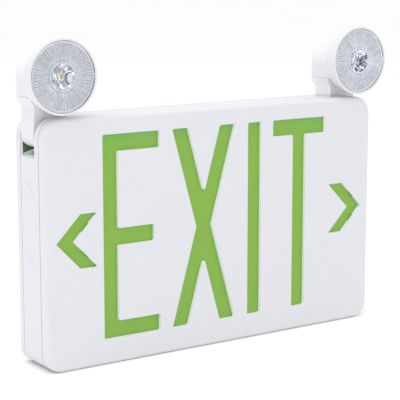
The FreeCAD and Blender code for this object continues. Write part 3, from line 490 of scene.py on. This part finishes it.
def pip_mat(side):
    """Moulded pip in the bowl: clear, its colour a painted reflection: pale sky blue on the left lamp, dark blue on the
    right.
    """
    m = Mat(side + "_pip")
    k = m.noise(700.0, 2.0, 0.6)
    if side == "left":
        base = m.ramp(k, [(0.3, (0.48, 0.58, 0.70)), (0.7, (0.62, 0.71, 0.82))])
    else:
        base = m.ramp(k, [(0.38, (0.06, 0.08, 0.13)), (0.5, (0.22, 0.31, 0.46)), (0.62, (0.55, 0.66, 0.82))])
    n = m.bump(k, 0.25, 0.0002)
    return m.finish(base, m.range(k, 0.06, 0.16), n, IOR=1.5, Coat_Weight=1.0, Coat_Roughness=0.03)


def collar_mat(side):
    """Seat round the pip, coloured dark: painted shade."""
    m = Mat(side + "_pip_collar")
    k = m.noise(500.0, 2.0)
    return m.finish(m.ramp(k, [(0.3, (0.10, 0.12, 0.16)), (0.7, (0.20, 0.23, 0.29))]), m.range(k, 0.1, 0.25),
                    m.bump(k, 0.2, 0.0001), Coat_Weight=1.0, Coat_Roughness=0.04)


white = white_plastic("white_abs", notch=True)
white_cover = white_plastic("white_abs_cover", cut_edges=True)
# the arms take a paler copy of the white ABS, painted lighter to stand in for light the shaded arms under the heads
# miss; the right arm's copy also paints its neck paler on the side face (painted light); the heads take a slightly
# paler copy
white_arm = white_plastic("white_abs_arm", tint=(0.735, 0.737, 0.760), grain=2200.0, bevel=0.00018, painted_neck_light=(0.181, 0.196, 0.0))
white_arm_right = white_plastic("white_abs_arm_right", tint=(0.735, 0.737, 0.760), grain=2200.0, bevel=0.00018, painted_neck_light=(0.181, 0.194, 0.62))
white_head = white_plastic("white_abs_head", tint=(0.718, 0.722, 0.748), grain=2200.0, bevel=0.00018)
finish_by_slot = {
    "white_shell": white,
    "green_panel": green_acrylic(),
    "white_tray": white_plastic("reflector_tray", tint=(0.76, 0.76, 0.76), rough=(0.45, 0.6)),
    "white_board": moulded("white_mask", (0.80, 0.81, 0.80), (0.25, 0.4), 0.03),
    "led_chip": led_mat(),
    "screw_steel": steel("zinc_screws"),
    "spring_steel": steel("spring_strip", (0.46, 0.46, 0.47), (0.2, 0.35)),
    "circuit_board": solder_mask("green_board"),
    "transformer_steel": transformer_mat(),
    "capacitor_sleeve": moulded("capacitor_sleeve", (0.035, 0.045, 0.09), (0.2, 0.35), 0.2, 200.0),
    "connector_green": moulded("terminal_green", (0.05, 0.30, 0.09), (0.3, 0.45)),
    "connector_white": moulded("nylon_natural", (0.74, 0.71, 0.60), (0.3, 0.5), 0.05),
    "component_black": moulded("epoxy_black", (0.028, 0.028, 0.030), (0.35, 0.6), 0.3),
    "battery_wrap": moulded("battery_shrink", (0.035, 0.14, 0.36), (0.15, 0.4), 0.18, 120.0, 0.5),
    "lead_sheath": moulded("lead_red", (0.40, 0.02, 0.02), (0.3, 0.45), 0.15),
    "button_grey": moulded("button_grey", (0.33, 0.34, 0.36), (0.3, 0.45), 0.05, 400.0),
    "clear_plastic": clear_mat(),
    "aluminium_plate": steel("plate_aluminium", (0.74, 0.75, 0.77), (0.18, 0.35)),
}
slot_of = {s["node"]: s["material_slot"] for s in frame["record"]["subparts"]}
for name, o in nodes.items():
    mat = finish_by_slot[slot_of[name]]
    if name == "front_cover":
        mat = white_cover
    if name in ("left_arm", "right_arm"):
        mat = white_arm if name == "left_arm" else white_arm_right
    if name in ("left_head_shell", "right_head_shell"):
        mat = white_head
    for s in o.material_slots:
        s.material = mat


# -------------------------------------------------------------------- meshes
def mesh_object(name, verts, faces, mat, smooth=True):
    me = bpy.data.meshes.new(name)
    me.from_pydata([tuple(v) for v in verts], [], faces)
    bm = bmesh.new()
    bm.from_mesh(me)
    if smooth:
        bmesh.ops.recalc_face_normals(bm, faces=bm.faces)
    bm.to_mesh(me)
    bm.free()
    me.update()
    me.materials.append(mat)
    if smooth:
        for p in me.polygons:
            p.use_smooth = True
    o = bpy.data.objects.new(name, me)
    bpy.context.scene.collection.objects.link(o)
    return o


def turned(name, cx, cz, y0, rows, segs, mat, height=None):
    """Closed solid of revolution about a Y axis. rows = [(radius_mm, y_mm, weight)], first and last on the axis
    (radius 0); height(angle, radius_mm) * weight is added to y."""
    verts, faces, ring = [], [], []
    for r, y, wgt in rows:
        if r <= 1e-6:
            ring.append([len(verts)])
            verts.append((cx, y0 + y * MM, cz))
            continue
        idx = []
        for k in range(segs):
            a = 2 * math.pi * k / segs
            dy = height(a, r) * wgt if (height and wgt) else 0.0
            idx.append(len(verts))
            verts.append((cx + r * MM * math.cos(a), y0 + (y + dy) * MM, cz + r * MM * math.sin(a)))
        ring.append(idx)
    for a, b in zip(ring, ring[1:]):
        if len(a) == 1 and len(b) == 1:
            continue
        for k in range(segs):
            j = (k + 1) % segs
            if len(a) == 1:
                faces.append((a[0], b[j], b[k]))
            elif len(b) == 1:
                faces.append((a[k], a[j], b[0]))
            else:
                faces.append((a[k], a[j], b[j], b[k]))
    return mesh_object(name, verts, faces, mat)


def washer_piece(name, outline, centre, bore, z0, z1, mat):
    """Flat washer with a shaped outside and a round bore, closed all round."""
    fine = []
    for (x, y), (u, v) in zip(outline, outline[1:] + outline[:1]):          # long edges in short steps, so the bore is round
        turn = abs(math.atan2(v - centre[1], u - centre[0]) - math.atan2(y - centre[1], x - centre[0]))
        steps = max(1, math.ceil(min(turn, 2 * math.pi - turn) / math.radians(6.0)))
        fine += [(x + (u - x) * t / steps, y + (v - y) * t / steps) for t in range(steps)]
    outline, inner = fine, []
    for x, y in outline:
        d = math.hypot(x - centre[0], y - centre[1])
        inner.append((centre[0] + (x - centre[0]) / d * bore, centre[1] + (y - centre[1]) / d * bore))
    n = len(outline)
    verts = [(x, y, z) for ring in (outline, inner) for z in (z1, z0) for x, y in ring]
    faces = []
    for k in range(n):
        j = (k + 1) % n
        faces += [(k, j, 2 * n + j, 2 * n + k), (n + k, n + j, 3 * n + j, 3 * n + k),
                  (k, j, n + j, n + k), (2 * n + k, 2 * n + j, 3 * n + j, 3 * n + k)]
    return mesh_object(name, verts, faces, mat, smooth=False)


def in_tab(a):
    d = math.degrees(a)
    return any(abs((d - t + 180.0) % 360.0 - 180.0) <= h for t, h in TABS)


for side in ("left", "right"):
    cx, y0, cz, R = lamp_axis(side)
    Rm = R / MM                                   # lens radius, mm
    body = side + "_head"

    def pillow(a, r):
        """Flutes crossed by rings, standing towards the front."""
        f = abs(math.sin(a * FLUTES / 2.0)) ** 0.8
        g = abs(math.sin(math.pi * r * MM / PITCH))
        return f * (0.62 + 0.38 * g)

    def gap(a, r):
        return 0.0 if in_tab(a) else 1.0

    # lens: lip round the bowl, pillow optics, plain band, shadow gap with snap tabs, skirt
    rows = [(0.0, 4.6, 0), (9.2, 4.6, 0), (9.35, 0.75, 0), (9.55, 0.34, 0), (9.9, 0.10, 0), (10.35, 0.08, 0),
            (10.75, 0.26, 0), (10.95, 0.66, 0)]
    step = PITCH / MM / 4.0
    r = 11.2
    while r < Rm - 1.95:
        fade = min(1.0, (r - 10.95) / 1.2, (Rm - 1.9 - r) / 0.8)
        rows.append((r, 0.92 - 0.20 * math.sin(math.pi * (r - 10.95) / (Rm - 12.9)), -0.42 * max(0.0, fade)))
        r += step
    rows += [(Rm - 1.88, 0.80, 0), (Rm - 1.74, 0.34, 0), (Rm - 1.58, 0.24, 0), (Rm - 1.10, 0.16, 0), (Rm - 0.80, 0.22, 0.05),
             (Rm - 0.70, 0.34, 0.40), (Rm - 0.12, 0.34, 0.45), (Rm - 0.02, 0.30, 0.40), (Rm, 0.45, 0.30), (Rm, 1.95, 0), (Rm - 1.6, 2.05, 0),
             (Rm - 1.9, 3.4, 0), (11.0, 5.2, 0), (0.0, 5.2, 0)]

    def relief(a, r, _R=Rm):
        return gap(a, r) if r > _R - 1.0 else pillow(a, r)

    lens = turned(side + "_lens_front", cx, cz, y0, rows, FLUTES * 8, prism_mat(side), relief)
    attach(lens, body)
    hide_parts(side + "_lens")

    # collimator bowl: a closed cup with gathered petals
    def petal(a, r):
        return math.sin(a * 9.0 + r * 0.9)

    rows = [(3.0, 3.55, 0), (3.05, 3.3, 0.0), (3.4, 3.15, 0.02), (4.2, 3.02, 0.10), (5.2, 2.78, 0.16), (6.2, 2.42, 0.20), (7.1, 1.98, 0.20),
            (7.9, 1.46, 0.14), (8.6, 0.92, 0.06), (9.1, 0.55, 0.0), (9.33, 0.50, 0.0), (9.33, 0.9, 0.0), (8.4, 1.75, 0.0),
            (7.2, 2.75, 0.0), (5.4, 3.55, 0.0), (3.6, 3.95, 0.0), (3.0, 3.85, 0)]
    segs = 144
    verts, faces = [], []
    for rr, yy, wgt in rows:
        for k in range(segs):
            a = 2 * math.pi * k / segs
            verts.append((cx + rr * MM * math.cos(a), y0 + (yy + petal(a, rr) * wgt) * MM, cz + rr * MM * math.sin(a)))
    n = len(rows)
    for i in range(n):
        j2 = (i + 1) % n
        for k in range(segs):
            j = (k + 1) % segs
            faces.append((i * segs + k, i * segs + j, j2 * segs + j, j2 * segs + k))
    bowl = mesh_object(side + "_bowl", verts, faces, bowl_mat(side))
    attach(bowl, body)

    # window over the light source
    rows = [(0.0, 2.75, 0), (0.7, 2.78, 0), (1.3, 2.88, 0), (1.5, 3.02, 0), (2.1, 3.0, 0), (2.6, 3.06, 0), (2.9, 3.2, 0), (2.97, 3.4, 0),
            (2.97, 4.2, 0), (0.0, 4.2, 0)]
    win = turned(side + "_emitter_window", cx, cz, y0, rows, 64, emitter_mat(side))
    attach(win, body)

    # moulded pip with its seat, beside the light source
    px, pz = cx + 0.0062, cz - 0.0012
    rows = [(0.0, 1.02, 0), (0.9, 1.06, 0), (1.8, 1.22, 0), (2.4, 1.46, 0), (2.62, 1.8, 0), (2.62, 3.1, 0), (0.0, 3.1, 0)]
    pip = turned(side + "_pip", px, pz, y0, rows, 48, pip_mat(side))
    for v in pip.data.vertices:
        v.co.z = pz + (v.co.z - pz) * 1.42
    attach(pip, body)
    rows = [(2.66, 3.1, 0), (2.66, 1.62, 0), (2.8, 1.5, 0), (3.0, 1.56, 0), (3.06, 1.8, 0), (3.06, 3.1, 0)]
    verts, faces = [], []
    for rr, yy, _ in rows:
        for k in range(48):
            a = 2 * math.pi * k / 48
            verts.append((px + rr * MM * math.cos(a), y0 + yy * MM, pz + rr * MM * 1.40 * math.sin(a)))
    for i in range(len(rows)):
        j2 = (i + 1) % len(rows)
        for k in range(48):
            j = (k + 1) % 48
            faces.append((i * 48 + k, i * 48 + j, j2 * 48 + j, j2 * 48 + k))
    collar = mesh_object(side + "_pip_collar", verts, faces, collar_mat(side))
    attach(collar, body)


# nylon slip washers between each arm's seat and its head, just inside the outline
nylon = white_plastic("nylon_white", tint=(0.70, 0.70, 0.715), grain=1800.0, rough=(0.3, 0.4))
for side in ("left", "right"):
    alo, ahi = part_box(side + "_arm")
    slo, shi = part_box(side + "_swivel_stud")
    ax, ay = (slo[0] + shi[0]) / 2, (slo[1] + shi[1]) / 2
    side_pts = [(math.sqrt(18.6 ** 2 - y * y), y) for y in (-9.8, -9.0, -8.0, -7.0, -6.2, -5.72)]
    side_pts += [(17.7, -3.0), (17.7, 0.0), (17.7, 3.0), (17.6, 4.6), (17.4, 6.2), (17.02, 7.7), (16.5, 9.0),
                 (15.82, 10.35), (15.0, 11.5), (14.05, 12.45), (13.0, 13.2), (11.9, 13.72), (10.8, 14.0)]
    inset = 0.22
    outline = [(ax + (x - inset) * MM, ay + (y - math.copysign(inset, y)) * MM) for x, y in side_pts]
    outline += [(ax - (x - inset) * MM, ay + (y - math.copysign(inset, y)) * MM) for x, y in reversed(side_pts)]
    z0 = ahi[2]
    w = washer_piece(side + "_slip_washer", outline, (ax, ay), 0.0043, z0 + 0.00001, z0 + 0.00029, nylon)
    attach(w, side + "_head")


# ------------------------------------------------------------- floor and light
def add_plane(name, size, z, mat):
    s = size / 2
    o = mesh_object(name, [(-s, -s, z), (s, -s, z), (s, s, z), (-s, s, z)], [(0, 1, 2, 3)], mat, smooth=False)
    return o


fm = Mat("floor_pale")
fc = fm.ramp(fm.noise(0.35, 1.0), [(0.3, (0.970, 0.970, 0.972)), (0.7, (0.978, 0.978, 0.980))])
fm.finish(fc, 0.75)
add_plane("floor", 60.0, cad_box[0][2], fm.m)

world = bpy.data.worlds.new("studio")
bpy.context.scene.world = world
world.use_nodes = True
world.node_tree.nodes["Background"].inputs["Color"].default_value = (0.995, 0.997, 1.0, 1.0)
world.node_tree.nodes["Background"].inputs["Strength"].default_value = 1.003


def area(name, loc, target, size, power, color=(1, 1, 1)):
    d = bpy.data.lights.new(name, "AREA")
    d.shape = "RECTANGLE"
    d.size, d.size_y = size
    d.energy = power
    d.color = color
    o = bpy.data.objects.new(name, d)
    o.location = loc
    o.rotation_euler = (Vector(target) - Vector(loc)).to_track_quat("-Z", "Y").to_euler()
    bpy.context.scene.collection.objects.link(o)
    return o


area("key_top", (-0.35, -0.25, 1.55), (0.0, 0.0, 0.12), (1.6, 1.2), 9.0, (1.0, 1.0, 1.0))
area("fill_left", (-2.6, -0.6, 1.0), (0.0, 0.0, 0.12), (1.6, 1.6), 2.4, (1.0, 1.0, 1.0))

# --------------------------------------------------------------------- camera
AZ, EL, DIST = math.radians(-34.81), math.radians(9.95), 1.0606
target = Vector((-0.01855, -0.0208, 0.11568))
cam = bpy.data.cameras.new("camera")
cam.lens = 125.35
cam.sensor_width = 36.0
cam.clip_start = 0.05
cam.clip_end = 100.0
co = bpy.data.objects.new("camera", cam)
co.location = target + DIST * Vector((math.sin(AZ) * math.cos(EL), -math.cos(AZ) * math.cos(EL), math.sin(EL)))
co.rotation_euler = (target - co.location).to_track_quat("-Z", "Y").to_euler()
bpy.context.scene.collection.objects.link(co)
bpy.context.scene.camera = co

bpy.context.scene.view_settings.view_transform = "Standard"
bpy.context.scene.view_settings.look = "None"
bpy.context.scene.view_settings.exposure = 0.0
bpy.context.scene.view_settings.gamma = 1.0
